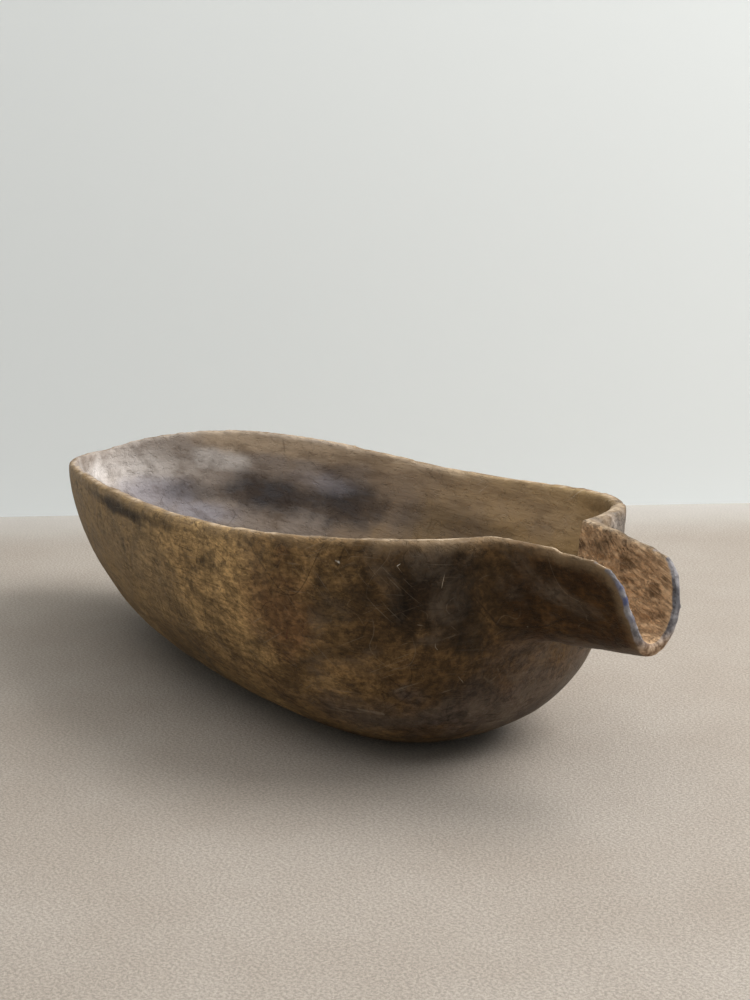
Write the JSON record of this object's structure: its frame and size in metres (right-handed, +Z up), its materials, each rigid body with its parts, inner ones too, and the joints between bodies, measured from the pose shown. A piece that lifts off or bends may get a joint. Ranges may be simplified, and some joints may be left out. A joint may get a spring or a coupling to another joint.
{
  "type": "feed scoop",
  "caption": "Hand-carved one-piece wooden feed scoop: long egg-shaped bowl with a wavy rim and an open trough spout at its broad end.",
  "frame": {"origin": "on the ground plane, under the middle of the overall length, on the centre line", "axes": "+X towards the pouring spout, +Z up out of the bowl, +Y to the left of someone who looks along the spout"},
  "size_m": [0.4014, 0.165, 0.0982],
  "materials": {
    "carved_wood": "old hand-rubbed wood, dark brown, satin where handled and dry where scraped"
  },
  "bodies": {
    "root": {"scoop_body": "carved_wood"}
  },
  "joints": []
}
